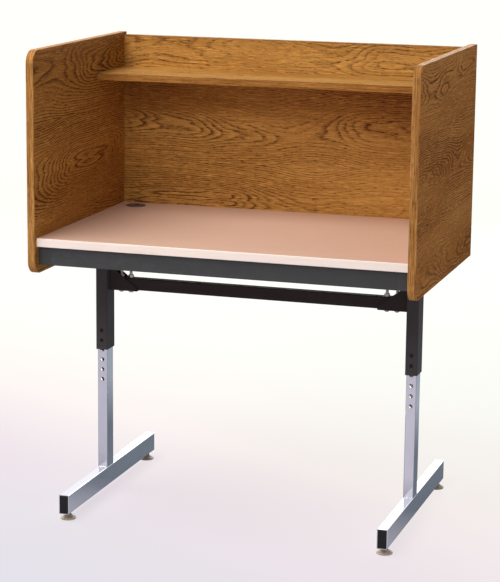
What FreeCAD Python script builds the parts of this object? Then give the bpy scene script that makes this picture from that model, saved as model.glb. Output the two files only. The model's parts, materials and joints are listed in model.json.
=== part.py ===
import FreeCAD, Part
import os

os.makedirs("parts", exist_ok=True)
V = FreeCAD.Vector

# Study carrel on two height-adjustable legs.  Millimetres, +Z up, +X to the
# sitter's right, +Y towards the back panel.  The origin is on the floor, in the
# middle of the overall footprint.

# ---------------------------------------------------------------- dimensions
W = 939.8            # overall width over the side panels (37 in)
D = 609.6            # side panel depth (24 in)
H = 1144.5           # top of the side panels
ZB = 615.4           # bottom of the side panels
T = 19.05            # side and back panel thickness (3/4 in)
BAND = 2.0           # edge band thickness
R_FRONT = 32.0       # front corner radius of the side panels
H_BACK = 1137.4      # top of the back panel

TOP_Z = 701.6        # worktop surface
TOP_T = 20.3         # worktop thickness with its laminate
LAM = 1.2            # laminate sheet
TOP_FRONT = 10.5     # worktop front edge behind the side panels' front edges

SHELF_Z = 1056.2     # shelf surface
SHELF_T = 17.8
SHELF_D = 188.0

AP_FRONT = 23.0      # apron face behind the side panels' front edges
AP_H = 45.0
AP_T = 1.6           # sheet thickness
AP_FL = 22.0         # flange width
AP_CORNER = 32.0     # arm of a corner piece

LEG_X = 398.0        # leg centre, each side
LEG_Y = 317.0
SLV_W, SLV_D, SLV_T = 30.2, 52.0, 1.5
SLV_Z0 = 374.0
PLATE_T = 3.0
LEG_W, LEG_D, LEG_T = 25.4, 43.2, 1.6
LEG_TOP = 518.0
HOLE_D = 10.6
HOLE_Z0, HOLE_PITCH, HOLES = 296.4, 25.4, 9
LOCK_Z = (398.0, 423.4)

FOOT_W, FOOT_H, FOOT_T = 25.4, 48.5, 1.6
FOOT_Y0, FOOT_Y1 = 38.0, 641.0
FOOT_Z0 = 18.0
GLIDE_IN = 27.0      # glide centre from the foot's end
GLIDE_R = 19.5
STEM_R = 5.0

BAR_H, BAR_D, BAR_T = 30.0, 24.0, 1.6
BAR_TOP = 559.0
BOLT_X = (328.5, 353.9)
GUS_T = 2.5
GUS_OUT = 308.0      # outer end of a gusset bracket from the middle
GUS_TOP = 585.0

GRM_X, GRM_Y = -400.0, 539.7
GRM_FL_R, GRM_R = 25.0, 22.0

YO = -FOOT_Y1 / 2    # carrel depth is measured from the side panels' front edge
XI = W / 2 - T       # inner face of a side panel
YB = D - T           # front face of the back panel


# ------------------------------------------------------------------- helpers
def box(x0, x1, y0, y1, z0, z1):
    x0, x1 = min(x0, x1), max(x0, x1)
    return Part.makeBox(x1 - x0, y1 - y0, z1 - z0, V(x0, y0 + YO, z0))


def cyl(r, h, x, y, z, axis=(0, 0, 1)):
    return Part.makeCylinder(r, h, V(x, y + YO, z), V(*axis))


def xcyl(r, x0, x1, y, z):
    x0, x1 = min(x0, x1), max(x0, x1)
    return cyl(r, x1 - x0, x0, y, z, (1, 0, 0))


def ycyl(r, y0, y1, x, z):
    return cyl(r, y1 - y0, x, y0, z, (0, 1, 0))


def wire(points):
    return Part.makePolygon([V(*p) for p in points] + [V(*points[0])])


def prism(points, d):
    return Part.Face(wire(points)).extrude(V(*d))


def hexagon(af, h, x, y, z):
    import math
    r = af / math.sqrt(3)
    pts = [(x + r * math.cos(math.radians(60 * k + 30)),
            y + YO + r * math.sin(math.radians(60 * k + 30)), z) for k in range(6)]
    return prism(pts, (0, 0, h))


def at(e, fn):
    """Whether every end and the middle of an edge satisfies fn."""
    pts = [v.Point for v in e.Vertexes]
    pts.append(e.valueAt((e.FirstParameter + e.LastParameter) / 2))
    return all(fn(p) for p in pts)


def near(a, b, tol=1e-4):
    return abs(a - b) < tol


def fillet(s, r, fn):
    es = [e for e in s.Edges if at(e, fn)]
    return s.makeFillet(r, es)


def tube_z(w, d, t, x, y, z0, z1, r=3.0):
    """A rectangular tube standing along Z with rounded corners."""
    o = box(x - w / 2, x + w / 2, y - d / 2, y + d / 2, z0, z1)
    i = box(x - w / 2 + t, x + w / 2 - t, y - d / 2 + t, y + d / 2 - t, z0, z1)
    up = lambda s: [e for e in s.Edges if near(e.tangentAt(e.FirstParameter).x, 0)
                    and near(e.tangentAt(e.FirstParameter).y, 0)]
    o = o.makeFillet(r, up(o))
    i = i.makeFillet(max(r - t, 0.4), up(i))
    return o.cut(i)


def panel_outline(x, y0, y1, z0, z1, r):
    """A side panel's outline in the YZ plane: front corners rounded."""
    c = 0.7071067811865476
    a, b = y0 + YO, y1 + YO
    p = lambda y, z: V(x, y, z)
    return Part.Wire([
        Part.makeLine(p(b, z0), p(a + r, z0)),
        Part.Arc(p(a + r, z0), p(a + r - r * c, z0 + r - r * c), p(a, z0 + r)).toShape(),
        Part.makeLine(p(a, z0 + r), p(a, z1 - r)),
        Part.Arc(p(a, z1 - r), p(a + r - r * c, z1 - r + r * c), p(a + r, z1)).toShape(),
        Part.makeLine(p(a + r, z1), p(b, z1)),
        Part.makeLine(p(b, z1), p(b, z0)),
    ])


def group(shapes):
    return Part.makeCompound(shapes)


NODES = {}


def put(name, shape):
    NODES[name] = shape


SIDES = (("left", -1), ("right", 1))

# ----------------------------------------------------------- connector layout
DOWEL_R, DOWEL_IN, DOWEL_OUT = 4.0, 20.0, 10.0
CAM_R, CAM_H, CAM_X = 7.5, 12.5, XI - 34.0
CAMBOLT_R = 3.0
shelf_mid = SHELF_Z - SHELF_T / 2
back_mid = D - T / 2
dowel_at = [(y, shelf_mid) for y in (YB - 158.0, YB - 30.0)]
dowel_at += [(back_mid, z) for z in (655.0, 885.0, 1110.0)]
cam_shelf = [(YB - 94.0, shelf_mid)]
cam_back = [(back_mid, 750.0), (back_mid, 1015.0)]
PB_R, PB_IN_R, PB_IN_L = 3.0, 4.5, 13.0
PB_Z = TOP_Z - TOP_T - AP_H / 2
PB_Y = (110.0, 235.0, 405.0, 520.0)
PB_X = (-300.0, 0.0, 300.0)
LOCK_HEAD_R, LOCK_R = 4.6, 3.0

# ------------------------------------------------------------------ carcass
for side, s in SIDES:
    xo, xi = s * W / 2, s * XI
    x0 = min(xo, xi)
    outer = Part.Face(panel_outline(x0, 0, D, ZB, H, R_FRONT)).extrude(V(T, 0, 0))
    core = Part.Face(panel_outline(x0, BAND, D - BAND, ZB + BAND, H - BAND,
                                   R_FRONT - BAND)).extrude(V(T, 0, 0))
    band = outer.cut(core)
    lim = lambda p: (near(p.x, x0) or near(p.x, x0 + T)) and (
        near(p.y, YO) or near(p.y, D + YO) or near(p.z, ZB) or near(p.z, H)
        or (p.y - YO < R_FRONT and (p.z < ZB + R_FRONT or p.z > H - R_FRONT)
            and abs(((p.y - YO - R_FRONT) ** 2 + (min(p.z - ZB - R_FRONT, 0) + max(p.z - H + R_FRONT, 0)) ** 2) ** 0.5 - R_FRONT) < 0.01))
    es = [e for e in band.Edges if at(e, lim)]
    band = band.makeFillet(1.5, es)
    put(side + "_panel_edge_band", band)
    # bores for dowels, cam bolts and the threaded inserts
    for y, z in dowel_at:
        core = core.cut(xcyl(DOWEL_R, s * XI, s * (XI + DOWEL_OUT), y, z))
    for y, z in cam_shelf + cam_back:
        core = core.cut(xcyl(CAMBOLT_R, s * XI, s * (XI + 11), y, z))
    for y in PB_Y:
        core = core.cut(xcyl(PB_IN_R, s * XI, s * (XI + PB_IN_L), y, PB_Z))
    put(side + "_side_panel", core)

back = box(-XI, XI, YB, D, ZB, H_BACK - BAND)
for s in (-1, 1):
    for y, z in dowel_at[2:]:
        back = back.cut(xcyl(DOWEL_R, s * XI, s * (XI - DOWEL_IN), y, z))
    for y, z in cam_back:
        back = back.cut(xcyl(CAMBOLT_R + 0.5, s * XI, s * (CAM_X + CAM_R - 0.5), y, z))
        back = back.cut(ycyl(CAM_R, D - CAM_H, D, s * CAM_X, z))
for x in PB_X:
    back = back.cut(ycyl(PB_IN_R, YB, YB + PB_IN_L, x, PB_Z))
put("back_panel", back)
bt = box(-XI, XI, YB, D, H_BACK - BAND, H_BACK)
put("back_panel_top_band", fillet(bt, 1.2, lambda p: near(p.z, H_BACK) and (near(p.y, YB + YO) or near(p.y, D + YO))))

shelf = box(-XI, XI, YB - SHELF_D + BAND, YB, SHELF_Z - SHELF_T, SHELF_Z)
for s in (-1, 1):
    for y, z in dowel_at[:2]:
        shelf = shelf.cut(xcyl(DOWEL_R, s * XI, s * (XI - DOWEL_IN), y, z))
    for y, z in cam_shelf:
        shelf = shelf.cut(xcyl(CAMBOLT_R + 0.5, s * XI, s * (CAM_X + CAM_R - 0.5), y, z))
        shelf = shelf.cut(cyl(CAM_R, CAM_H, s * CAM_X, y, SHELF_Z - SHELF_T))
put("shelf", shelf)
sb = box(-XI, XI, YB - SHELF_D, YB - SHELF_D + BAND, SHELF_Z - SHELF_T, SHELF_Z)
put("shelf_edge_band", fillet(sb, 1.2, lambda p: near(p.y, YB - SHELF_D + YO) and (near(p.z, SHELF_Z) or near(p.z, SHELF_Z - SHELF_T))))

# ------------------------------------------------------------------ worktop
TB = TOP_Z - TOP_T
TF = TOP_FRONT + BAND
core = box(-XI, XI, TF, YB, TB, TOP_Z - LAM).cut(cyl(GRM_R, TOP_T, GRM_X, GRM_Y, TB))
lam = box(-XI, XI, TF, YB, TOP_Z - LAM, TOP_Z).cut(cyl(GRM_R, TOP_T, GRM_X, GRM_Y, TB))
wb = box(-XI, XI, TOP_FRONT, TF, TB, TOP_Z)
wb = fillet(wb, 1.5, lambda p: near(p.y, TOP_FRONT + YO) and (near(p.z, TOP_Z) or near(p.z, TB)))
put("worktop_edge_band", wb)
put("worktop_laminate", lam)

# grommet: a flanged liner with a ledge, and a cap with a cable notch
LEDGE_Z, LEDGE_R, GRM_IN = TOP_Z - 3.5, 16.5, 20.0
liner = cyl(GRM_FL_R, 1.8, GRM_X, GRM_Y, TOP_Z)
liner = fillet(liner, 1.0, lambda p: near(p.z, TOP_Z + 1.8))
liner = liner.fuse(cyl(GRM_R, TOP_T - 1.0, GRM_X, GRM_Y, TB + 1.0))
liner = liner.cut(cyl(GRM_IN, 40, GRM_X, GRM_Y, LEDGE_Z))
liner = liner.cut(cyl(LEDGE_R, 60, GRM_X, GRM_Y, TB - 20))
liner = liner.cut(cyl(GRM_IN, LEDGE_Z - 2.0 - TB + 20, GRM_X, GRM_Y, TB - 20))
put("grommet_liner", liner.removeSplitter())
CAP_R, CAP_TOP = GRM_IN - 0.3, TOP_Z + 1.6
cap = cyl(CAP_R, CAP_TOP - LEDGE_Z, GRM_X, GRM_Y, LEDGE_Z)
cap = fillet(cap, 0.8, lambda p: near(p.z, CAP_TOP))
notch = box(GRM_X - 6, GRM_X + 6, GRM_Y + 6, GRM_Y + 30, LEDGE_Z - 1, CAP_TOP + 1)
notch = notch.fuse(cyl(6, CAP_TOP - LEDGE_Z + 2, GRM_X, GRM_Y + 6, LEDGE_Z - 1))
put("grommet_cap", cap.cut(notch))

# -------------------------------------------------------------------- apron
AZ0, AZ1 = TB - AP_H, TB
C = AP_CORNER


def channel_x(x0, x1, yw, d):
    """A channel along X with its web at yw, open towards d (+1 back, -1 front)."""
    a = lambda u, v: (min(yw + d * u, yw + d * v), max(yw + d * u, yw + d * v))
    s = box(x0, x1, *a(0, AP_T), AZ0, AZ1)
    s = s.fuse(box(x0, x1, *a(0, AP_FL), AZ0, AZ0 + AP_T))
    s = s.fuse(box(x0, x1, *a(0, AP_FL), AZ1 - AP_T, AZ1))
    s = s.removeSplitter()
    return fillet(s, 1.2, lambda p: near(p.y, yw + YO) and (near(p.z, AZ0) or near(p.z, AZ1)))


def channel_y(y0, y1, xw, d):
    s = box(xw, xw + d * AP_T, y0, y1, AZ0, AZ1)
    s = s.fuse(box(xw, xw + d * AP_FL, y0, y1, AZ0, AZ0 + AP_T))
    s = s.fuse(box(xw, xw + d * AP_FL, y0, y1, AZ1 - AP_T, AZ1))
    s = s.removeSplitter()
    return fillet(s, 1.2, lambda p: near(p.x, xw) and (near(p.z, AZ0) or near(p.z, AZ1)))


front = channel_x(-XI + C, XI - C, AP_FRONT, 1)
rear = channel_x(-XI + C, XI - C, YB, -1)
for x in PB_X:
    rear = rear.cut(ycyl(PB_R + 0.25, YB - AP_T, YB, x, PB_Z))
rails = {"left": channel_y(AP_FRONT + C, YB - C, -XI, 1),
         "right": channel_y(AP_FRONT + C, YB - C, XI, -1)}
for side, s in SIDES:
    for y in PB_Y:
        rails[side] = rails[side].cut(xcyl(PB_R + 0.25, s * (XI - AP_T), s * XI, y, PB_Z))

for fr, ya, dy in (("front", AP_FRONT, 1), ("rear", YB, -1)):
    for side, s in SIDES:
        xa, dx = s * XI, -s
        X = lambda u: xa + dx * u
        Y = lambda u: ya + dy * u + YO
        th = 2 * AP_T
        pts = [(X(0), Y(0)), (X(C), Y(0)), (X(C), Y(th)), (X(th), Y(th)), (X(th), Y(C)), (X(0), Y(C))]
        c = prism([(x, y, AZ0) for x, y in pts], (0, 0, AP_H))
        zt0, zt1 = AZ0 + AP_T + 0.2, AZ1 - AP_T - 0.2
        t1 = prism([(X(C), Y(AP_T), zt0), (X(C + 20), Y(AP_T), zt0), (X(C + 20), Y(th), zt0), (X(C), Y(th), zt0)], (0, 0, zt1 - zt0))
        t2 = prism([(X(AP_T), Y(C), zt0), (X(AP_T), Y(C + 20), zt0), (X(th), Y(C + 20), zt0), (X(th), Y(C), zt0)], (0, 0, zt1 - zt0))
        put("apron_corner_%s_%s" % (fr, side), c.fuse(t1).fuse(t2).removeSplitter())

# wood screws: up through the apron flanges and the leg plates into the board
ws = []
SC_R, SC_HR, SC_HH, SC_L = 2.2, 4.5, 2.6, 16.5
fl = AP_FL / 2 + 3
for x in (-330.0, 0.0, 330.0):
    front = front.cut(cyl(SC_R + 0.3, AP_T, x, AP_FRONT + fl, AZ1 - AP_T))
    rear = rear.cut(cyl(SC_R + 0.3, AP_T, x, YB - fl, AZ1 - AP_T))
    ws += [(x, AP_FRONT + fl, AZ1 - AP_T), (x, YB - fl, AZ1 - AP_T)]
for side, s in SIDES:
    for y in (170.0, 460.0):
        rails[side] = rails[side].cut(cyl(SC_R + 0.3, AP_T, s * (XI - fl), y, AZ1 - AP_T))
        ws.append((s * (XI - fl), y, AZ1 - AP_T))
put("apron_front_rail", front)
put("apron_rear_rail", rear)
put("apron_left_rail", rails["left"])
put("apron_right_rail", rails["right"])

# --------------------------------------------- leg sleeves and their brackets
PZ = TB - PLATE_T
for side, s in SIDES:
    x = s * LEG_X
    pl = box(x - 26, x + 26, LEG_Y - 58, LEG_Y + 58, PZ, TB)
    pl = fillet(pl, 6.0, lambda p: (near(p.x, x - 26) or near(p.x, x + 26)) and (near(p.y, LEG_Y - 58 + YO) or near(p.y, LEG_Y + 58 + YO)))
    for dx in (-16, 16):
        for dy in (-44, 44):
            pl = pl.cut(cyl(SC_R + 0.3, PLATE_T, x + dx, LEG_Y + dy, PZ))
            ws.append((x + dx, LEG_Y + dy, PZ))
    put(side + "_leg_plate", pl)

    sl = tube_z(SLV_W, SLV_D, SLV_T, x, LEG_Y, SLV_Z0, PZ, 2.6)
    for z in LOCK_Z:
        sl = sl.cut(ycyl(LOCK_R + 0.05, LEG_Y - SLV_D / 2 - 1, LEG_Y, x, z))
    put(side + "_leg_sleeve", sl)

    # nylon collar in the sleeve's mouth, round the inner leg
    iw, idp = SLV_W - 2 * SLV_T, SLV_D - 2 * SLV_T
    lw, ld = LEG_W + 0.6, LEG_D + 0.6
    bu = box(x - iw / 2, x + iw / 2, LEG_Y - idp / 2, LEG_Y + idp / 2, SLV_Z0 + 1.0, SLV_Z0 + 66)
    bu = fillet(bu, 1.1, lambda p: (near(abs(p.x - x), iw / 2)) and near(abs(p.y - YO - LEG_Y), idp / 2) and SLV_Z0 < p.z)
    hole = box(x - lw / 2, x + lw / 2, LEG_Y - ld / 2, LEG_Y + ld / 2, SLV_Z0, SLV_Z0 + 70)
    hole = hole.makeFillet(2.8, [e for e in hole.Edges if near(e.Length, 70)])
    bu = bu.cut(hole)
    for z in LOCK_Z:
        bu = bu.cut(ycyl(LOCK_R + 0.05, LEG_Y - SLV_D / 2 - 1, LEG_Y, x, z))
    put(side + "_sleeve_bushing", bu)

    # gusset: a channel under the crossbar's end, its flanges rising to the leg
    xi = s * (LEG_X - SLV_W / 2)
    xo = s * GUS_OUT
    y0, y1 = LEG_Y - BAR_D / 2, LEG_Y + BAR_D / 2
    zb = BAR_TOP - BAR_H
    web = box(xo, xi, y0 - GUS_T, y1 + GUS_T, zb - GUS_T, zb)
    prof = [(xi, zb - GUS_T), (xi, GUS_TOP), (xi - s * 8, GUS_TOP), (xo, zb + 5.5), (xo, zb - GUS_T)]
    f1 = prism([(px, y0 - GUS_T + YO, pz) for px, pz in prof], (0, GUS_T, 0))
    f2 = prism([(px, y1 + YO, pz) for px, pz in prof], (0, GUS_T, 0))
    g = web.fuse(f1).fuse(f2).removeSplitter()
    try:
        g = fillet(g, 3.5, lambda p: near(p.x, xo) and near(p.z, zb - GUS_T))
    except Exception:
        pass
    for bx in BOLT_X:
        g = g.cut(cyl(4.3, GUS_T, s * bx, LEG_Y, zb - GUS_T))
    put(side + "_gusset_bracket", g)

bar_in = LEG_X - SLV_W / 2
bar = box(-bar_in, bar_in, LEG_Y - BAR_D / 2, LEG_Y + BAR_D / 2, BAR_TOP - BAR_H, BAR_TOP)
bar = bar.makeFillet(2.4, [e for e in bar.Edges if near(e.Length, 2 * bar_in, 1e-3)])
bi = box(-bar_in, bar_in, LEG_Y - BAR_D / 2 + BAR_T, LEG_Y + BAR_D / 2 - BAR_T, BAR_TOP - BAR_H + BAR_T, BAR_TOP - BAR_T)
bi = bi.makeFillet(0.8, [e for e in bi.Edges if near(e.Length, 2 * bar_in, 1e-3)])
bar = bar.cut(bi)
bolts, nuts = [], []
for s in (-1, 1):
    for bx in BOLT_X:
        x = s * bx
        bar = bar.cut(cyl(4.3, BAR_H, x, LEG_Y, BAR_TOP - BAR_H))
        zu = BAR_TOP - BAR_H - GUS_T
        hd = cyl(7.2, 4.6, x, LEG_Y, zu - 4.6)
        hd = hd.makeFillet(2.6, [e for e in hd.Edges if at(e, lambda p: near(p.z, zu - 4.6))])
        b = hd.fuse(cyl(3.9, BAR_TOP + 15.0 - zu, x, LEG_Y, zu))
        b = b.removeSplitter()
        b = b.makeChamfer(0.8, [e for e in b.Edges if at(e, lambda p: near(p.z, BAR_TOP + 15.0))])
        bolts.append(b)
        n = hexagon(12.7, 6.8, x, LEG_Y, BAR_TOP)
        n = n.common(Part.makeCone(9.2, 6.4, 6.8, V(x, LEG_Y + YO, BAR_TOP)))
        nuts.append(n.cut(cyl(3.95, 20, x, LEG_Y, BAR_TOP - 5)))
put("crossbar", bar)
put("crossbar_bolts", group(bolts))
put("crossbar_nuts", group(nuts))

locks = []
for s in (-1, 1):
    for z in LOCK_Z:
        yf = LEG_Y - SLV_D / 2
        h = ycyl(LOCK_HEAD_R, yf - 1.6, yf, s * LEG_X, z)
        h = h.makeFillet(0.9, [e for e in h.Edges if at(e, lambda p: near(p.y, yf - 1.6 + YO))])
        b = h.fuse(ycyl(LOCK_R, yf, yf + SLV_T + 2.0, s * LEG_X, z)).removeSplitter()
        soc = hexagon(4.0, 1.2, 0, 0, 0)
        soc.translate(V(0, -YO, 0))
        soc.rotate(V(0, 0, 0), V(1, 0, 0), -90)
        soc.translate(V(s * LEG_X, yf - 1.6 + YO, z))
        locks.append(b.cut(soc))
put("lock_screws", group(locks))

screws = []
for x, y, z in ws:
    core = core.cut(cyl(SC_R, z + SC_L - TB, x, y, TB))
    hd = cyl(SC_HR, SC_HH, x, y, z - SC_HH)
    hd = hd.makeFillet(1.4, [e for e in hd.Edges if at(e, lambda p: near(p.z, z - SC_HH))])
    screws.append(hd.fuse(cyl(SC_R, SC_L, x, y, z)).removeSplitter())
put("worktop_screws", group(screws))
put("worktop_core", core)

# bolts and threaded inserts from the apron into the side and back panels
pb, pi = [], []
for s in (-1, 1):
    for y in PB_Y:
        h = xcyl(6.0, s * (XI - AP_T), s * (XI - AP_T - 3.6), y, PB_Z)
        h = h.makeFillet(1.6, [e for e in h.Edges if at(e, lambda p: near(p.x, s * (XI - AP_T - 3.6)))])
        pb.append(h.fuse(xcyl(PB_R, s * (XI - AP_T), s * (XI + 11), y, PB_Z)).removeSplitter())
        pi.append(xcyl(PB_IN_R, s * XI, s * (XI + PB_IN_L), y, PB_Z).cut(xcyl(PB_R, s * (XI - 1), s * (XI + 11), y, PB_Z)))
for x in PB_X:
    h = ycyl(6.0, YB - AP_T - 3.6, YB - AP_T, x, PB_Z)
    h = h.makeFillet(1.6, [e for e in h.Edges if at(e, lambda p: near(p.y, YB - AP_T - 3.6 + YO))])
    pb.append(h.fuse(ycyl(PB_R, YB - AP_T, YB + 11, x, PB_Z)).removeSplitter())
    pi.append(ycyl(PB_IN_R, YB, YB + PB_IN_L, x, PB_Z).cut(ycyl(PB_R, YB - 1, YB + 11, x, PB_Z)))
put("panel_bolts", group(pb))
put("panel_inserts", group(pi))

dw, cb, cd = [], [], []
for s in (-1, 1):
    for y, z in dowel_at:
        dw.append(xcyl(DOWEL_R, s * (XI - DOWEL_IN), s * (XI + DOWEL_OUT), y, z))
    for y, z in cam_shelf + cam_back:
        cb.append(xcyl(CAMBOLT_R, s * (CAM_X + CAM_R), s * (XI + 11), y, z))
    for y, z in cam_shelf:
        cd.append(cyl(CAM_R, CAM_H, s * CAM_X, y, SHELF_Z - SHELF_T)
                  .cut(box(s * CAM_X - 4.5, s * CAM_X + 4.5, y - 0.7, y + 0.7, SHELF_Z - SHELF_T, SHELF_Z - SHELF_T + 2.0))
                  .cut(box(s * CAM_X - 0.7, s * CAM_X + 0.7, y - 4.5, y + 4.5, SHELF_Z - SHELF_T, SHELF_Z - SHELF_T + 2.0)))
    for y, z in cam_back:
        cd.append(ycyl(CAM_R, D - CAM_H, D, s * CAM_X, z)
                  .cut(box(s * CAM_X - 4.5, s * CAM_X + 4.5, D - 2.0, D, z - 0.7, z + 0.7))
                  .cut(box(s * CAM_X - 0.7, s * CAM_X + 0.7, D - 2.0, D, z - 4.5, z + 4.5)))
put("dowels", group(dw))
put("cam_bolts", group(cb))
put("cam_discs", group(cd))

# --------------------------------------------------- inner legs, feet, glides
FT = FOOT_Z0 + FOOT_H
for side, s in SIDES:
    x = s * LEG_X
    leg = tube_z(LEG_W, LEG_D, LEG_T, x, LEG_Y, FT, LEG_TOP, 2.5)
    for k in range(HOLES):
        leg = leg.cut(ycyl(HOLE_D / 2, LEG_Y - 40, LEG_Y + 40, x, HOLE_Z0 + k * HOLE_PITCH))
    put(side + "_inner_leg", leg)

    # guide plug: fills the tube's mouth and runs inside the sleeve
    gw, gd = SLV_W - 2 * SLV_T - 0.6, SLV_D - 2 * SLV_T - 0.6
    g = box(x - gw / 2, x + gw / 2, LEG_Y - gd / 2, LEG_Y + gd / 2, LEG_TOP, LEG_TOP + 10)
    g = g.makeFillet(1.4, [e for e in g.Edges if near(e.Length, 10)])
    pw, pd = LEG_W - 2 * LEG_T, LEG_D - 2 * LEG_T
    p = box(x - pw / 2, x + pw / 2, LEG_Y - pd / 2, LEG_Y + pd / 2, LEG_TOP - 10, LEG_TOP)
    p = p.makeFillet(0.9, [e for e in p.Edges if near(e.Length, 10)])
    put(side + "_leg_guide", g.fuse(p).removeSplitter())

    o = box(x - FOOT_W / 2, x + FOOT_W / 2, FOOT_Y0, FOOT_Y1, FOOT_Z0, FT)
    o = o.makeFillet(2.4, [e for e in o.Edges if near(e.Length, FOOT_Y1 - FOOT_Y0)])
    i = box(x - FOOT_W / 2 + FOOT_T, x + FOOT_W / 2 - FOOT_T, FOOT_Y0, FOOT_Y1, FOOT_Z0 + FOOT_T, FT - FOOT_T)
    i = i.makeFillet(0.8, [e for e in i.Edges if near(e.Length, FOOT_Y1 - FOOT_Y0)])
    foot = o.cut(i)
    gy = (FOOT_Y0 + GLIDE_IN, FOOT_Y1 - GLIDE_IN)
    for y in gy:
        foot = foot.cut(cyl(STEM_R + 0.3, FOOT_T, x, y, FOOT_Z0))
    put(side + "_foot_tube", foot)

    nn = []
    for y in gy:
        n = hexagon(16.0, 8.0, x, y, FOOT_Z0 + FOOT_T)
        nn.append(n.cut(cyl(STEM_R + 0.3, 8, x, y, FOOT_Z0 + FOOT_T)))
    put(side + "_glide_nuts", group(nn))

    for fr, ye, d in (("front", FOOT_Y0, 1), ("rear", FOOT_Y1, -1)):
        ya, yb = min(ye, ye + d * 17), max(ye, ye + d * 17)
        cw, ch = FOOT_W / 2 - FOOT_T, (FOOT_Z0 + FOOT_T, FT - FOOT_T)
        c = box(x - cw, x + cw, ya, yb, ch[0], ch[1])
        c = c.makeFillet(0.8, [e for e in c.Edges if near(e.Length, 17)])
        h0, h1 = (ya + 2.5, yb) if d > 0 else (ya, yb - 2.5)
        c = c.cut(box(x - cw + 1.8, x + cw - 1.8, h0, h1, ch[0] + 1.8, ch[1] - 1.8))
        put("%s_foot_cap_%s" % (side, fr), c)

    for fr, y in (("front", gy[0]), ("rear", gy[1])):
        st = cyl(STEM_R, 41.0, x, y, 9.0)
        st = st.makeChamfer(1.0, [e for e in st.Edges if at(e, lambda p: near(p.z, 50.0))])
        jn = hexagon(13.0, 3.0, x, y, 11.0).cut(cyl(STEM_R, 3.0, x, y, 11.0))
        st = st.fuse(jn).removeSplitter()
        put("glide_stem_%s_%s" % (fr, side), st)
        R = GLIDE_R
        prof = [(0, 0), (R - 1.2, 0), (R, 1.4), (R, 4.2), (R - 2.0, 6.2), (10.0, 9.8), (9.0, 11.0), (0, 11.0)]
        pts = [V(px, YO + y, pz) for px, pz in prof]
        pts = [V(p.x + x, p.y, p.z) for p in pts]
        f = Part.Face(Part.makePolygon(pts + [pts[0]]))
        b = f.revolve(V(x, y + YO, 0), V(0, 0, 1), 360)
        b = Part.Solid(b) if b.ShapeType != "Solid" else b
        b = b.cut(cyl(STEM_R, 2.0, x, y, 9.0))
        put("glide_base_%s_%s" % (fr, side), b)

# -------------------------------------------------------------------- export
for name, shape in sorted(NODES.items()):
    for sld in shape.Solids:
        if not sld.isValid():
            print("invalid solid in", name)
    shape.exportStep("parts/%s.step" % name)
    print(name, len(shape.Solids), "%.1f cm3" % (shape.Volume / 1000))
print(len(NODES), "nodes")
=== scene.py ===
import json
import math
import random

import bmesh
import bpy
from mathutils import Matrix, Vector

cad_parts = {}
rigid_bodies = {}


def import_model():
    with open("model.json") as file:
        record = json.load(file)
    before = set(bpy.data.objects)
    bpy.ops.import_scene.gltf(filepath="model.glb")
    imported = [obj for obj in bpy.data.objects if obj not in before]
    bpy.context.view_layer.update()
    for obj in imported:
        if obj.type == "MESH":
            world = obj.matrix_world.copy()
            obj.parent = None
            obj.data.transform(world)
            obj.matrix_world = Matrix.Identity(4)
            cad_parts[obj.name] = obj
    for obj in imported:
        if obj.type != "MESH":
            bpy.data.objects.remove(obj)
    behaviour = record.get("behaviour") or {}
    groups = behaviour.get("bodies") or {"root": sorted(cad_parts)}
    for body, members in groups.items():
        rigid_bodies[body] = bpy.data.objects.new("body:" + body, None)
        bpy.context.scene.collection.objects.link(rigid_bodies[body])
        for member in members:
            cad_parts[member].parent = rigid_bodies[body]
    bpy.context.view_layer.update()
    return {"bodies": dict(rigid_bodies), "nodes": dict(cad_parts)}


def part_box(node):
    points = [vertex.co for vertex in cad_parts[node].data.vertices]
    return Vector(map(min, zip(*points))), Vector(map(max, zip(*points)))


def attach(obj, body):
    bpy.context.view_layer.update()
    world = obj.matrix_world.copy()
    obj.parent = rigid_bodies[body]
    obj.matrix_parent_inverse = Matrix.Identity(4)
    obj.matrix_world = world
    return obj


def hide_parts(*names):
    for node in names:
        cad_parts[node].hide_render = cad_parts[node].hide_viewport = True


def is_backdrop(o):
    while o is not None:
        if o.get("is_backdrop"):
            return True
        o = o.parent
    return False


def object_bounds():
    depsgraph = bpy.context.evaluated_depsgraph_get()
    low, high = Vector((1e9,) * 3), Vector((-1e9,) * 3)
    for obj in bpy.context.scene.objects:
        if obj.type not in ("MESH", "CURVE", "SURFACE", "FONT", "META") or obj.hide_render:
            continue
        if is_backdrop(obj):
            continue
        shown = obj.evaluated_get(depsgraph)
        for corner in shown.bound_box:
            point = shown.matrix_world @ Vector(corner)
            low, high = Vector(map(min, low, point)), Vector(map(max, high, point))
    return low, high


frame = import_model()
nodes = frame["nodes"]
random.seed(7)


def lin(r, g, b):
    """An sRGB colour given as 0-255, as the linear colour that a shader takes."""
    def f(v):
        v /= 255.0
        return v / 12.92 if v <= 0.04045 else ((v + 0.055) / 1.055) ** 2.4
    return (f(r), f(g), f(b), 1.0)


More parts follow.
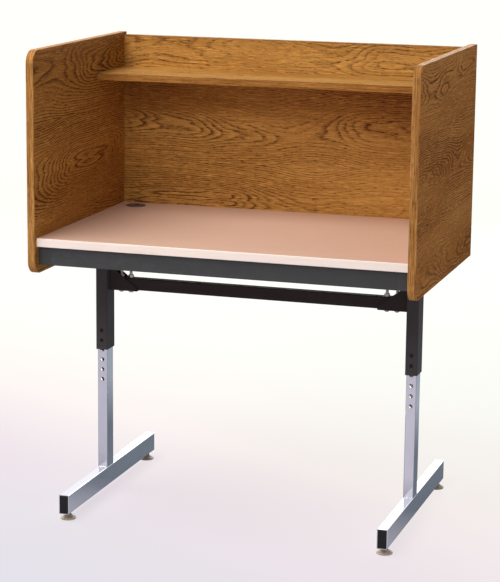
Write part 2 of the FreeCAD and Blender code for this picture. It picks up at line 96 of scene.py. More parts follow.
# ============================================================ material helper
class Mat:
    def __init__(self, name):
        self.m = bpy.data.materials.new(name)
        self.m.use_nodes = True
        self.nt = self.m.node_tree
        self.b = next(n for n in self.nt.nodes if n.type == "BSDF_PRINCIPLED")
        self.out = next(n for n in self.nt.nodes if n.type == "OUTPUT_MATERIAL")
        self.tc = self.nt.nodes.new("ShaderNodeTexCoord")
        self.obj = self.tc.outputs["Object"]

    def put(self, sock, v):
        if isinstance(v, bpy.types.NodeSocket):
            self.nt.links.new(v, sock)
        elif v is not None:
            sock.default_value = v

    def math(self, op, a, b=None, c=None, clamp=False):
        n = self.nt.nodes.new("ShaderNodeMath")
        n.operation = op
        n.use_clamp = clamp
        for i, v in enumerate((a, b, c)):
            if v is not None:
                self.put(n.inputs[i], v)
        return n.outputs[0]

    def split(self, v):
        n = self.nt.nodes.new("ShaderNodeSeparateXYZ")
        self.put(n.inputs[0], v)
        return n.outputs

    def join(self, x, y, z):
        n = self.nt.nodes.new("ShaderNodeCombineXYZ")
        for i, v in enumerate((x, y, z)):
            self.put(n.inputs[i], v)
        return n.outputs[0]

    def scaled(self, v, s, off=(0, 0, 0)):
        n = self.nt.nodes.new("ShaderNodeMapping")
        self.put(n.inputs["Vector"], v)
        n.inputs["Scale"].default_value = s
        n.inputs["Location"].default_value = off
        return n.outputs[0]

    def noise(self, v, scale=1.0, detail=2.0, rough=0.5, dist=0.0):
        n = self.nt.nodes.new("ShaderNodeTexNoise")
        self.put(n.inputs["Vector"], v)
        n.inputs["Scale"].default_value = scale
        n.inputs["Detail"].default_value = detail
        n.inputs["Roughness"].default_value = rough
        n.inputs["Distortion"].default_value = dist
        return n.outputs[0]

    def voronoi(self, v, scale=1.0, feature="F1", out="Distance", rnd=1.0):
        n = self.nt.nodes.new("ShaderNodeTexVoronoi")
        n.feature = feature
        self.put(n.inputs["Vector"], v)
        n.inputs["Scale"].default_value = scale
        n.inputs["Randomness"].default_value = rnd
        return n.outputs[out]

    def ramp(self, f, stops, mode="LINEAR"):
        n = self.nt.nodes.new("ShaderNodeValToRGB")
        n.color_ramp.interpolation = mode
        el = n.color_ramp.elements
        while len(el) < len(stops):
            el.new(0.5)
        for e, (p, c) in zip(el, stops):
            e.position = p
            e.color = c if isinstance(c, tuple) else (c, c, c, 1.0)
        self.put(n.inputs[0], f)
        return n.outputs[0]

    def mix(self, f, a, b, mode="MIX"):
        n = self.nt.nodes.new("ShaderNodeMix")
        n.data_type = "RGBA"
        n.blend_type = mode
        self.put(n.inputs[0], f)
        self.put(n.inputs[6], a)
        self.put(n.inputs[7], b)
        return n.outputs[2]

    def rng(self, f, a, b, c, d):
        n = self.nt.nodes.new("ShaderNodeMapRange")
        n.clamp = True
        for i, v in enumerate((f, a, b, c, d)):
            self.put(n.inputs[i], v)
        return n.outputs[0]

    def bump(self, h, strength, dist, normal=None):
        n = self.nt.nodes.new("ShaderNodeBump")
        n.inputs["Strength"].default_value = strength
        n.inputs["Distance"].default_value = dist
        self.put(n.inputs["Height"], h)
        if normal is not None:
            self.put(n.inputs["Normal"], normal)
        return n.outputs[0]

    def edge(self, lo=0.50, hi=0.60):
        """How far a point is on a convex edge, from 0 to 1."""
        n = self.nt.nodes.new("ShaderNodeNewGeometry")
        return self.rng(n.outputs["Pointiness"], lo, hi, 0.0, 1.0)

    def set(self, color=None, rough=None, normal=None, **kw):
        if color is not None:
            self.put(self.b.inputs["Base Color"], color)
        if rough is not None:
            self.put(self.b.inputs["Roughness"], rough)
        if normal is not None:
            self.put(self.b.inputs["Normal"], normal)
        for k, v in kw.items():
            self.b.inputs[k.replace("_", " ")].default_value = v
        return self


# ================================================================= materials
def oak(name, g, c, seed, light, mid, dark, leaf=0.24, first=1.09, heart=0.010, ring=0.0050,
        swing=0.19, wave=2.1, rough=0.52, gloss=0.10, ring_k=0.55, ragged=0.9):
    """Oak-pattern laminate. Each leaf is cut flat from a log: a point's ring comes from
    its distance to the heart, and the heart's depth drifts along the leaf, which gives
    nested arches and eyes in the middle and straight lines beside them. The lines are
    drawn by short open pores. g and c are the axes along and across the grain."""
    M = Mat(name)
    x, y, z = M.split(M.obj)
    ax = {"x": x, "y": y, "z": z}
    t = ax[({"x", "y", "z"} - {g, c}).pop()]
    P = M.join(ax[g], ax[c], M.math("MULTIPLY", t, 0.3))
    # the grain wanders slowly, and flutters a little
    w1 = M.noise(M.scaled(P, (1.6, 2.4, 1.0), (seed, 3.1, 0)), 1.0, 1.0, 0.5)
    w2 = M.noise(M.scaled(P, (11.0, 34.0, 6.0), (seed * 1.7, 0, 5)), 1.0, 2.0, 0.55)
    cw = M.math("ADD", M.math("ADD", ax[c], M.math("MULTIPLY_ADD", w1, 0.040, -0.020)),
                M.math("MULTIPLY_ADD", w2, 0.0065, -0.00325))
    # leaves matched edge to edge, each with its heart off the middle
    across = M.math("SUBTRACT", M.math("PINGPONG", M.math("ADD", cw, 60 * leaf - first), leaf / 2), heart)
    q = M.join(ax[g], cw, 0.0)
    drift = M.noise(M.scaled(q, (wave, 3.4, 1.0), (seed * 2.3, seed, 0)), 1.0, 1.5, 0.45)
    depth = M.math("MULTIPLY", M.math("SUBTRACT", drift, 0.34), swing)
    r = M.math("SQRT", M.math("ADD", M.math("MULTIPLY", across, across), M.math("MULTIPLY_ADD", depth, depth, 0.00002)))
    wob = M.noise(M.scaled(q, (15.0, 80.0, 1.0), (seed, 7.0, 0)), 1.0, 2.0, 0.6)
    F = M.math("ADD", M.math("DIVIDE", r, ring), M.math("MULTIPLY", wob, ragged))
    prof = M.ramp(M.math("FRACT", F), [(0.0, 1.0), (0.12, 0.92), (0.34, 0.40), (0.60, 0.08), (0.84, 0.0), (0.95, 0.35), (1.0, 1.0)])
    # some rings are darker than others, and the figure comes and goes along the sheet
    year = M.noise(M.join(M.math("MULTIPLY", M.math("DIVIDE", r, ring), 0.9), seed, 0.0), 1.0, 1.0, 0.5)
    fig = M.rng(M.noise(M.scaled(q, (1.6, 8.0, 1.0), (seed * 0.7, 9.0, 0)), 1.0, 1.0, 0.4), 0.40, 0.62, 0.30, 1.0)
    lines = M.math("MULTIPLY", M.math("MULTIPLY", prof, fig), M.rng(year, 0.32, 0.62, 0.55, 1.15))
    # open pores along the grain, crowded where a ring starts
    dash = M.noise(M.scaled(q, (52.0, 560.0, 1.0), (0, seed, 0)), 1.0, 1.0, 0.55)
    lo = M.math("MULTIPLY_ADD", lines, -0.26, 0.655)
    pore = M.rng(M.math("SUBTRACT", dash, lo), 0.0, 0.075, 0.0, 1.0)
    fine = M.noise(M.scaled(P, (90.0, 1700.0, 900.0), (seed, 1, 1)), 1.0, 1.0, 0.5)
    pin = M.math("MULTIPLY", M.rng(fine, 0.60, 0.67, 0.0, 1.0), M.rng(lines, 0.0, 0.6, 0.35, 1.0))
    # straight fibre, and a slow change of tone
    s1 = M.noise(M.scaled(q, (4.5, 210.0, 1.0), (seed, 0, 2)), 1.0, 3.0, 0.62)
    s2 = M.noise(M.scaled(q, (15.0, 620.0, 1.0), (0, seed, 7)), 1.0, 2.0, 0.6)
    fibre = M.rng(M.math("MULTIPLY_ADD", s2, 0.45, M.math("MULTIPLY", s1, 0.55)), 0.40, 0.62, 0.0, 1.0)
    tone = M.noise(M.scaled(q, (1.3, 8.5, 1.0), (seed * 3.0, 2, 0)), 1.0, 2.0, 0.5)
    col = M.mix(M.rng(tone, 0.34, 0.66, 0.0, 1.0), light, mid)
    col = M.mix(M.math("MULTIPLY", fibre, 0.50), col, M.mix(0.6, mid, dark))
    col = M.mix(M.math("MULTIPLY", lines, ring_k, clamp=True), col, dark)
    deep = tuple(v * 0.55 for v in dark[:3]) + (1.0,)
    col = M.mix(M.math("MULTIPLY", pore, 0.92), col, dark)
    col = M.mix(M.math("MULTIPLY", pin, 0.85), col, deep)
    fleck = M.rng(M.noise(M.scaled(P, (38.0, 700.0, 500.0), (3, seed, 3)), 1.0, 1.0, 0.5), 0.60, 0.68, 0.0, 0.55)
    col = M.mix(fleck, col, tuple(min(1.0, v * 1.4) for v in light[:3]) + (1.0,))
    rg = M.math("ADD", M.math("MULTIPLY_ADD", M.math("MAXIMUM", pore, pin), 0.14, rough),
                M.math("MULTIPLY_ADD", M.noise(M.scaled(P, (9, 9, 9)), 1.0, 3.0, 0.6), 0.10, -0.05))
    h = M.math("SUBTRACT", M.math("MULTIPLY", fibre, 0.25),
               M.math("ADD", M.math("MULTIPLY", pore, 0.8), M.math("ADD", pin, M.math("MULTIPLY", lines, 0.3))))
    M.set(col, rg, M.bump(h, 0.35, 0.00022), Specular_IOR_Level=gloss)
    return M.m


def oak_band(name, fast, seed, light, mid, dark, rough=0.50):
    """Oak edge strip: the grain follows the strip round its corners, because it
    changes fast only across the strip's width."""
    M = Mat(name)
    x, y, z = M.split(M.obj)
    ax = {"x": x, "y": y, "z": z}
    slow = [ax[k] for k in "xyz" if k not in fast]
    if len(fast) == 1:
        P = M.join(slow[0], slow[1], ax[fast])
        k = (1.0, 1.0, 0.0)
        def sc(s, f, off):
            return M.scaled(P, (s, s, f), off)
    else:
        P = M.join(slow[0], ax[fast[0]], ax[fast[1]])
        def sc(s, f, off):
            return M.scaled(P, (s, f, f), off)
    a = M.noise(sc(5.0, 230.0, (seed, 0, 0)), 1.0, 3.0, 0.6, 0.2)
    b = M.noise(sc(16.0, 900.0, (0, seed, 0)), 1.0, 2.0, 0.6)
    p = M.rng(M.noise(sc(60.0, 1500.0, (0, 0, seed)), 1.0, 1.0, 0.5), 0.59, 0.66, 0.0, 1.0)
    t = M.noise(sc(2.0, 30.0, (seed, 5, 0)), 1.0, 1.0, 0.5)
    col = M.mix(M.rng(a, 0.36, 0.66, 0.0, 1.0), light, mid)
    col = M.mix(M.rng(t, 0.45, 0.7, 0.0, 0.45), col, mid)
    col = M.mix(M.rng(b, 0.47, 0.66, 0.0, 0.85), col, dark)
    col = M.mix(M.math("MULTIPLY", p, 0.65), col, tuple(v * 0.5 for v in dark[:3]) + (1.0,))
    # painted highlight: the strip is lightened where its edges are sharpest, for the light its rounded arrises catch
    col = M.mix(M.math("MULTIPLY", M.edge(0.52, 0.62), 0.25), col, tuple(min(1, v * 1.3) for v in light[:3]) + (1.0,))
    r = M.math("MULTIPLY_ADD", p, 0.2, M.rng(b, 0.3, 0.7, rough - 0.05, rough + 0.08))
    h = M.math("SUBTRACT", M.math("MULTIPLY", b, 0.3), p)
    M.set(col, r, M.bump(h, 0.3, 0.0002), Specular_IOR_Level=0.05)
    return M.m


def powder(name, base, worn, rough=0.5, peel=900.0, spec=0.4, wear=0.5, strength=0.22):
    """Powder coat: fine orange peel, slight mottle, a rubbed sheen on its edges."""
    M = Mat(name)
    peel1 = M.noise(M.obj, peel, 2.0, 0.5)
    peel2 = M.noise(M.obj, peel * 0.33, 2.0, 0.5)
    mott = M.noise(M.obj, 7.0, 4.0, 0.6)
    spk = M.rng(M.noise(M.obj, 2600.0, 1.0, 0.5), 0.62, 0.74, 0.0, 0.25)
    col = M.mix(M.rng(mott, 0.3, 0.7, 0.0, 1.0), tuple(v * 0.90 for v in base[:3]) + (1.0,),
                tuple(v * 1.10 for v in base[:3]) + (1.0,))
    col = M.mix(spk, col, worn)
    scuff = M.rng(M.noise(M.scaled(M.obj, (30, 30, 55)), 1.0, 5.0, 0.7), 0.45, 0.75, 0.0, 1.0)
    e = M.math("MULTIPLY", M.edge(0.515, 0.60), M.math("MULTIPLY_ADD", scuff, 0.6, 0.4))
    col = M.mix(M.math("MULTIPLY", e, wear), col, worn)
    r = M.math("ADD", M.rng(mott, 0.3, 0.7, rough - 0.05, rough + 0.06), M.math("MULTIPLY", peel1, 0.05))
    M.set(col, r, M.bump(M.math("ADD", peel1, M.math("MULTIPLY", peel2, 0.8)), strength, 0.0002),
          Specular_IOR_Level=spec)
    return M.m


def chrome(name, base, rough=0.12, brush=None, inside=None):
    """Plated steel: slight waviness of the tube, faint drawing lines, and smudges."""
    M = Mat(name)
    smudge = M.noise(M.scaled(M.obj, (14, 14, 9)), 1.0, 5.0, 0.62)
    fine = M.noise(M.scaled(M.obj, brush or (420, 420, 6)), 1.0, 2.0, 0.5)
    wav = M.noise(M.scaled(M.obj, (9, 5, 5)), 1.0, 2.0, 0.5)
    pits = M.rng(M.noise(M.obj, 1900.0, 1.0, 0.5), 0.70, 0.78, 0.0, 1.0)
    col = M.mix(M.rng(smudge, 0.35, 0.70, 0.0, 0.55), base, tuple(v * 0.86 for v in base[:3]) + (1.0,))
    col = M.mix(M.math("MULTIPLY", pits, 0.25), col, tuple(v * 0.5 for v in base[:3]) + (1.0,))
    r = M.math("ADD", M.rng(smudge, 0.3, 0.75, rough - 0.03, rough + 0.10), M.math("MULTIPLY_ADD", fine, 0.05, -0.025))
    if inside:
        # the plating doesn't reach into the tube, which is dull grey steel there
        x, y, z = M.split(M.obj)
        cx, hx, cy, hy = inside
        inx = M.math("LESS_THAN", M.math("ABSOLUTE", M.math("SUBTRACT", M.math("ABSOLUTE", x), cx)), hx)
        iny = M.math("LESS_THAN", M.math("ABSOLUTE", M.math("SUBTRACT", y, cy)), hy)
        k = M.math("MULTIPLY", inx, iny)
        dull = M.mix(M.rng(M.noise(M.obj, 260.0, 4.0, 0.65), 0.35, 0.65, 0.0, 1.0), lin(206, 204, 200), lin(176, 172, 166))
        col = M.mix(k, col, dull)
        r = M.math("ADD", r, M.math("MULTIPLY", k, 0.38))
        M.put(M.b.inputs["Metallic"], M.math("MULTIPLY_ADD", k, -0.8, 1.0))
    h = M.math("ADD", M.math("MULTIPLY", wav, 0.5), M.math("MULTIPLY", fine, 0.012))
    M.set(col, r, M.bump(h, 0.08, 0.0015))
    if not inside:
        M.set(Metallic=1.0)
    return M.m


def steel(name, base, dark, rough=0.3, metallic=1.0):
    """Plated or blackened fastener: tool marks, darker blotches at random, and lighter edges."""
    M = Mat(name)
    a = M.noise(M.obj, 350.0, 4.0, 0.65)
    b = M.noise(M.scaled(M.obj, (90, 90, 1200)), 1.0, 3.0, 0.6)
    col = M.mix(M.rng(a, 0.35, 0.7, 0.0, 0.8), base, dark)
    col = M.mix(M.math("MULTIPLY", M.edge(0.52, 0.62), 0.5), col, tuple(min(1, v * 1.4) for v in base[:3]) + (1.0,))
    r = M.rng(M.math("ADD", a, M.math("MULTIPLY", b, 0.4)), 0.4, 1.0, rough - 0.08, rough + 0.22)
    M.set(col, r, M.bump(M.math("ADD", a, M.math("MULTIPLY", b, 0.5)), 0.2, 0.0001), Metallic=metallic)
    return M.m


def plastic(name, base, rough=0.4, grain=1500.0, strength=0.18, spec=0.45, var=0.12):
    """Moulded plastic: spark-eroded grain, faint flow marks, and scuffed edges."""
    M = Mat(name)
    g = M.noise(M.obj, grain, 2.0, 0.6)
    flow = M.noise(M.scaled(M.obj, (40, 40, 70)), 1.0, 4.0, 0.6, 0.6)
    col = M.mix(M.rng(flow, 0.3, 0.7, 0.0, 1.0), tuple(v * (1 - var) for v in base[:3]) + (1.0,),
                tuple(min(1, v * (1 + var)) for v in base[:3]) + (1.0,))
    col = M.mix(M.math("MULTIPLY", M.edge(0.52, 0.62), 0.35), col, tuple(min(1, v * 1.5 + 0.02) for v in base[:3]) + (1.0,))
    r = M.math("ADD", M.rng(flow, 0.3, 0.7, rough - 0.04, rough + 0.06), M.math("MULTIPLY_ADD", g, 0.08, -0.04))
    M.set(col, r, M.bump(g, strength, 0.0001), Specular_IOR_Level=spec)
    return M.m


def laminate_top(name):
    """Writing-surface laminate: warm pinkish beige with a very fine two-tone speckle."""
    M = Mat(name)
    a = M.noise(M.obj, 1400.0, 2.0, 0.6)
    b = M.noise(M.obj, 420.0, 3.0, 0.6)
    c = M.noise(M.scaled(M.obj, (3, 3, 3)), 1.0, 4.0, 0.6)
    base, pale, deep = lin(218, 178, 156), lin(231, 196, 176), lin(196, 153, 130)
    col = M.mix(M.rng(a, 0.40, 0.62, 0.0, 0.55), base, pale)
    col = M.mix(M.rng(b, 0.52, 0.70, 0.0, 0.45), col, deep)
    col = M.mix(M.rng(c, 0.3, 0.7, 0.0, 0.10), col, deep)
    rub = M.noise(M.scaled(M.obj, (5, 11, 5)), 1.0, 5.0, 0.65)
    r = M.math("ADD", M.rng(rub, 0.3, 0.7, 0.36, 0.46), M.math("MULTIPLY", a, 0.05))
    M.set(col, r, M.bump(M.math("ADD", a, M.math("MULTIPLY", b, 0.6)), 0.12, 0.0001), Specular_IOR_Level=0.5)
    return M.m


def top_band(name):
    """Cream PVC strip on the worktop's front edge: fine extrusion lines along it."""
    M = Mat(name)
    a = M.noise(M.scaled(M.obj, (5, 1500, 1500)), 1.0, 2.0, 0.6)
    b = M.noise(M.scaled(M.obj, (9, 60, 60)), 1.0, 4.0, 0.65)
    base = lin(255, 241, 230)
    col = M.mix(M.rng(a, 0.35, 0.7, 0.0, 0.5), base, lin(246, 223, 208))
    col = M.mix(M.rng(b, 0.55, 0.8, 0.0, 0.35), col, lin(226, 196, 178))
    # painted highlight: the strip is lightened along its sharpest edges, for the light its rounded arris catches
    col = M.mix(M.math("MULTIPLY", M.edge(0.52, 0.62), 0.3), col, lin(255, 244, 235))
    M.set(col, M.rng(b, 0.3, 0.7, 0.38, 0.48), M.bump(a, 0.15, 0.0001), Specular_IOR_Level=0.45)
    return M.m


def board(name):
    """Bare particle board: pressed flakes of several tones."""
    M = Mat(name)
    v = M.voronoi(M.scaled(M.obj, (420, 420, 420)), 1.0, "F1", "Color")
    d = M.voronoi(M.scaled(M.obj, (420, 420, 420)), 1.0, "F1", "Distance")
    n = M.noise(M.obj, 160.0, 3.0, 0.6)
    k = M.split(v)[0]
    col = M.ramp(k, [(0.0, lin(150, 115, 78)), (0.45, lin(186, 150, 108)), (1.0, lin(214, 184, 142))])
    col = M.mix(M.rng(n, 0.4, 0.7, 0.0, 0.4), col, lin(120, 88, 56))
    M.set(col, M.rng(n, 0.3, 0.7, 0.75, 0.9), M.bump(d, 0.4, 0.0004), Specular_IOR_Level=0.2)
    return M.m


def beech(name):
    M = Mat(name)
    a = M.noise(M.scaled(M.obj, (12, 700, 700)), 1.0, 3.0, 0.6)
    f = M.rng(M.noise(M.scaled(M.obj, (300, 1200, 1200)), 1.0, 1.0, 0.5), 0.6, 0.7, 0.0, 1.0)
    col = M.mix(a, lin(214, 176, 132), lin(188, 146, 102))
    col = M.mix(M.math("MULTIPLY", f, 0.5), col, lin(150, 106, 70))
    M.set(col, M.rng(a, 0.3, 0.7, 0.5, 0.65), M.bump(a, 0.3, 0.0002))
    return M.m


L1, L2, L3 = lin(206, 153, 79), lin(173, 120, 55), lin(88, 49, 19)
R1, R2, R3 = lin(209, 146, 78), lin(177, 115, 55), lin(90, 47, 19)     # the right side, a redder sheet
mats = {
    "oak_back": oak("oak_laminate_back", "x", "z", 4.1, L1, L2, L3, leaf=0.19, first=1.105, ragged=0.6),
    "oak_left": oak("oak_laminate_left", "y", "z", 14.9, L1, L2, L3, leaf=0.24, first=1.09, ring=0.0052, gloss=0.05, ring_k=0.95, ragged=0.45),
    "oak_right": oak("oak_laminate_right", "y", "z", 23.3, R1, R2, R3, leaf=0.21, first=1.09, ring=0.0052, gloss=0.02, ring_k=1.0, ragged=0.45),
    "oak_shelf": oak("oak_laminate_shelf", "x", "y", 31.9, L1, L2, L3, leaf=0.26, first=0.18, swing=0.12),
    "band_side": oak_band("oak_edge_band_side", "x", 2.0, lin(200, 147, 84), lin(164, 108, 53), lin(88, 48, 18)),
    "band_x": oak_band("oak_edge_band_long", "yz", 6.0, lin(182, 128, 66), lin(150, 97, 43), lin(82, 45, 16)),
    "top": laminate_top("top_laminate"),
    "top_band": top_band("top_edge_band"),
    "board": board("particle_board"),
    "charcoal": powder("charcoal_powder_coat", lin(55, 55, 55), lin(96, 96, 98), 0.50, 950.0, 0.3, 0.30),
    # the crossbar and gusset brackets: the sleeves' black coat, painted darker for the shade that falls under the
    # worktop
    "black_bar": powder("black_powder_coat_painted_shade", lin(46, 38, 39), lin(74, 66, 66), 0.48, 950.0, 0.07, 0.30),
    "black": powder("black_powder_coat", lin(64, 60, 61), lin(84, 78, 78), 0.46, 950.0, 0.10, 0.30),
    "chrome": chrome("chrome_plate", lin(211, 211, 220), 0.06),
    "chrome_leg": chrome("chrome_plate_leg", lin(211, 211, 220), 0.06, inside=(0.398, 0.01113, -0.0035, 0.02003)),
    "zinc": steel("zinc_plated_steel", lin(190, 190, 186), lin(120, 118, 112), 0.30),
    "oxide": steel("black_oxide_steel", lin(46, 45, 46), lin(24, 23, 24), 0.38),
    "dark_steel": steel("dark_steel", lin(120, 118, 116), lin(70, 66, 62), 0.34),
    "black_plastic": plastic("black_plastic", lin(19, 17, 18), 0.45, spec=0.16),
    "grey_plastic": plastic("grommet_plastic", lin(70, 64, 62), 0.36),
    "nylon": plastic("nylon", lin(214, 210, 200), 0.45, spec=0.4, var=0.05),
    "tan": plastic("tan_nylon", lin(184, 167, 146), 0.36, spec=0.45, var=0.07),
    "beech": beech("beech"),
}

look = {
    "back_panel": "oak_back", "back_panel_top_band": "band_x",
    "left_side_panel": "oak_left", "right_side_panel": "oak_right",
    "left_panel_edge_band": "band_side", "right_panel_edge_band": "band_side",
    "shelf": "oak_shelf", "shelf_edge_band": "band_x",
    "worktop_core": "board", "worktop_laminate": "top", "worktop_edge_band": "top_band",
    "crossbar": "black_bar", "crossbar_bolts": "zinc", "crossbar_nuts": "zinc",
    "cam_bolts": "zinc", "cam_discs": "dark_steel", "dowels": "beech",
    "panel_bolts": "zinc", "panel_inserts": "zinc", "worktop_screws": "zinc",
    "lock_screws": "oxide", "grommet_liner": "grey_plastic", "grommet_cap": "grey_plastic",
}
for n in nodes:
    k = look.get(n)
    if k is None:
        if n.startswith("apron_"):
            k = "charcoal"
        elif n.endswith("_gusset_bracket"):
            k = "black_bar"
        elif n.endswith(("_leg_sleeve", "_leg_plate")):
            k = "black"
        elif n.endswith("_inner_leg"):
            k = "chrome_leg"
        elif n.endswith("_foot_tube"):
            k = "chrome"
        elif "_foot_cap_" in n or n.endswith("_sleeve_bushing"):
            k = "black_plastic"
        elif n.endswith("_leg_guide"):
            k = "nylon"
        elif n.startswith("glide_base"):
            k = "tan"
        elif n.startswith(("glide_stem",)) or n.endswith("_glide_nuts"):
            k = "zinc"
        else:
            raise RuntimeError("no look for " + n)
    look[n] = k


def dress(o, mat):
    o.data.materials.clear()
    o.data.materials.append(mat)


# fine arrises on the CAD solids whose edges are dead sharp: merge doubled points, join
# flat triangles, round the edges, and keep the flat faces flat
ARRIS = {"charcoal": 0.7, "top": 0.3, "top_band": 0.5, "band_x": 0.6, "oak_shelf": 0.2}
for n, o in nodes.items():
    dress(o, mats[look[n]])
    if look[n] in ARRIS:
        o.data.shade_smooth()
        w = o.modifiers.new("join_points", "WELD")
        w.merge_threshold = 0.00001
        d = o.modifiers.new("flat_faces", "DECIMATE")
        d.decimate_type = "DISSOLVE"
        d.angle_limit = math.radians(0.4)
        b = o.modifiers.new("arris", "BEVEL")
        b.width = ARRIS[look[n]] / 1000
        b.segments = 3
        b.limit_method = "ANGLE"
        b.angle_limit = math.radians(35)
        b.use_clamp_overlap = True
        v = o.modifiers.new("flat_normals", "WEIGHTED_NORMAL")
        v.mode = "FACE_AREA"
        v.weight = 100
        v.keep_sharp = False


# ============================================================= mesh built here
def finish_mesh(name, bm, mat, body, smooth=35.0):
    bmesh.ops.remove_doubles(bm, verts=bm.verts, dist=1e-7)
    bmesh.ops.recalc_face_normals(bm, faces=bm.faces)
    me = bpy.data.meshes.new(name)
    bm.to_mesh(me)
    bm.free()
    me.shade_smooth()
    me.set_sharp_from_angle(angle=math.radians(smooth))
    o = bpy.data.objects.new(name, me)
    bpy.context.scene.collection.objects.link(o)
    dress(o, mats[mat])
    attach(o, body)
    return o


def lathe(bm, cx, cy, prof, seg=48):
    """A closed solid of revolution about a vertical line; prof is (radius, height) from
    one end of the line to the other."""
    rows = []
    for r, z in prof:
        if r < 1e-6:
            rows.append([bm.verts.new((cx, cy, z))])
        else:
            rows.append([bm.verts.new((cx + r * math.cos(2 * math.pi * k / seg), cy + r * math.sin(2 * math.pi * k / seg), z))
                         for k in range(seg)])
    for a, b in zip(rows, rows[1:]):
        for k in range(seg):
            l = (k + 1) % seg
            if len(a) == 1 and len(b) == 1:
                break
            if len(a) == 1:
                bm.faces.new((a[0], b[l], b[k]))
            elif len(b) == 1:
                bm.faces.new((a[k], a[l], b[0]))
            else:
                bm.faces.new((a[k], a[l], b[l], b[k]))


def arc(cr, cz, r, a0, a1, n=5):
    """Points of a quarter round in a lathe profile."""
    return [(cr + r * math.cos(math.radians(a0 + (a1 - a0) * k / n)), cz + r * math.sin(math.radians(a0 + (a1 - a0) * k / n)))
            for k in range(n + 1)]


def thread(bm, cx, cy, z0, z1, root, crest, pitch, seg=28):
    """A screw thread: a ridge wound on a core, which runs out at both ends."""
    turns = (z1 - z0 - pitch) / pitch
    count = int(turns * seg)
    rings = []
    for i in range(count + 1):
        a = 2 * math.pi * i / seg
        z = z0 + pitch / 2 + pitch * i / seg
        ease = min(1.0, i / (seg * 0.6), (count - i) / (seg * 0.6))
        top = root + (crest - root) * max(ease, 0.02)
        ring = []
        for r, dz in ((root - 0.00012, -0.46), (top, -0.07), (top, 0.07), (root - 0.00012, 0.46)):
            ring.append(bm.verts.new((cx + r * math.cos(a), cy + r * math.sin(a), z + dz * pitch)))
        rings.append(ring)
    for a, b in zip(rings, rings[1:]):
        for k in range(4):
            l = (k + 1) % 4
            bm.faces.new((a[k], b[k], b[l], a[l]))
    bm.faces.new(rings[0])
    bm.faces.new(list(reversed(rings[-1])))


def hexagon(bm, cx, cy, z0, z1, af, chamfer, turn=0.0):
    """A hexagonal nut or collar with its corners chamfered."""
    R = af / math.sqrt(3)
    seg = 48
    rows = []
    for z, cut in ((z0, chamfer), (z0 + chamfer * 0.6, 0.0), (z1 - chamfer * 0.6, 0.0), (z1, chamfer)):
        row = []
        for k in range(seg):
            a = 2 * math.pi * k / seg
            b = (a - turn + math.pi / 6) % (math.pi / 3) - math.pi / 6
            r = min((af / 2) / math.cos(b), R - cut)
            row.append(bm.verts.new((cx + r * math.cos(a), cy + r * math.sin(a), z)))
        rows.append(row)
    for a, b in zip(rows, rows[1:]):
        for k in range(seg):
            l = (k + 1) % seg
            bm.faces.new((a[k], a[l], b[l], b[k]))
    bm.faces.new(list(reversed(rows[0])))
    bm.faces.new(rows[-1])


def bead(bm, p, q, out, r, seed, step=0.0011):
    """A weld bead from p to q, laid in overlapping scallops; out leans it out of its corner."""
    p, q, out = Vector(p), Vector(q), Vector(out).normalized()
    d = q - p
    n = max(8, int(d.length / step) * 4)
    side = d.normalized().cross(out)
    rnd = random.Random(seed)
    swell = [0.88 + 0.24 * rnd.random() for _ in range(n // 4 + 3)]
    rings = []
    for i in range(n + 1):
        t = i / n
        k = (i / 4.0) % 1.0
        s = swell[int(i // 4)] * (0.80 + 0.20 * math.sin(math.pi * (1 - k) ** 0.8))
        ease = math.sin(math.pi * min(0.5, max(0.012, min(t, 1 - t) * n / 14.0)))
        c = p + d * t
        ring = []
        for j in range(10):
            a = 2 * math.pi * j / 10
            ring.append(bm.verts.new(c + (out * math.cos(a) * r * s + side * math.sin(a) * r * 1.15 * s) * ease))
        rings.append(ring)
    for a, b in zip(rings, rings[1:]):
        for j in range(10):
            l = (j + 1) % 10
            bm.faces.new((a[j], a[l], b[l], b[j]))
    bm.faces.new(list(reversed(rings[0])))
    bm.faces.new(rings[-1])


# glides: the tilting base with its rolled rim, and the threaded stem above it
for end in ("front", "rear"):
    for hand in ("left", "right"):
        base, stem = f"glide_base_{end}_{hand}", f"glide_stem_{end}_{hand}"
        lo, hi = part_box(base)
        cx, cy = (lo.x + hi.x) / 2, (lo.y + hi.y) / 2
        R = (hi.x - lo.x) / 2
        bm = bmesh.new()
        prof = [(0.0, 0.0), (R - 0.0030, 0.0)] + arc(R - 0.0016, 0.0016, 0.0016, -90, 20, 6)
        prof += [(R - 0.0006, 0.0034), (R - 0.0016, 0.0042), (R - 0.0034, 0.0050), (R - 0.0052, 0.0056),
                 (R - 0.0058, 0.0064), (R - 0.0068, 0.0076), (0.0098, 0.0094)] + arc(0.0080, 0.0100, 0.0010, 10, 90, 4)
        prof += [(0.0062, 0.0110), (0.0, 0.0110)]
        lathe(bm, cx, cy, prof, 64)
        o = finish_mesh(f"glide_{end}_{hand}_cup", bm, "tan", f"glide_{end}_{hand}", 40)
        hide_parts(base)
        slo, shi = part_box(stem)
        bm = bmesh.new()
        lathe(bm, cx, cy, [(0.0, slo.z), (0.0040, slo.z), (0.00425, slo.z + 0.0005), (0.00425, shi.z - 0.0008), (0.0035, shi.z), (0.0, shi.z)], 40)
        hexagon(bm, cx, cy, 0.0110, 0.0140, 0.0130, 0.0007)
        thread(bm, cx, cy, 0.0144, shi.z - 0.0008, 0.00425, 0.0050, 0.0015)
        o = finish_mesh(f"glide_{end}_{hand}_screw", bm, "dark_steel", f"glide_{end}_{hand}", 30)
        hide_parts(stem)

